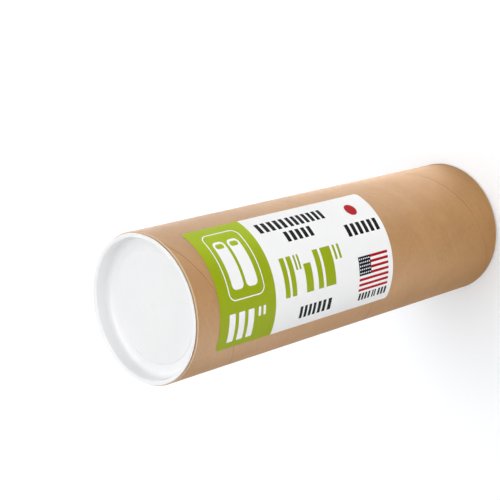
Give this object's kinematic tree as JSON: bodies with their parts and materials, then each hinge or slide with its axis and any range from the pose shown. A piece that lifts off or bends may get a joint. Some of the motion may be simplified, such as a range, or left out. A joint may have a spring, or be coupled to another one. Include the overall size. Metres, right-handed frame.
{
  "type": "cardboard mailing tube",
  "caption": "Spiral-wound kraft board mailing tube with a paper label and a pull-out dished plastic plug cap in each end.",
  "frame": {"origin": "centre of the far cap's outer flange face, which the tube stands on", "axes": "+Z along the tube's axis from the far cap to the near cap; the middle of the label faces -Y"},
  "size_m": [0.1062, 0.1063, 0.3338],
  "materials": {
    "kraft_board": "matt spiral-wound kraft board",
    "cap_plastic": "white moulded plastic, satin gloss",
    "label_paper": "coated white paper, printed"
  },
  "bodies": {
    "far_cap": {"far_end_cap": "cap_plastic"},
    "tube": {"paper_tube": "kraft_board", "label": "label_paper"},
    "near_cap": {"near_end_cap": "cap_plastic"}
  },
  "joints": [
    {"name": "tube_lift", "type": "slide", "parent": "far_cap", "child": "tube", "axis": [0, 0, 1], "range_m": [0, 0.12]},
    {"name": "near_cap_pull", "type": "slide", "parent": "tube", "child": "near_cap", "axis": [0, 0, 1], "range_m": [0, 0.12]}
  ]
}
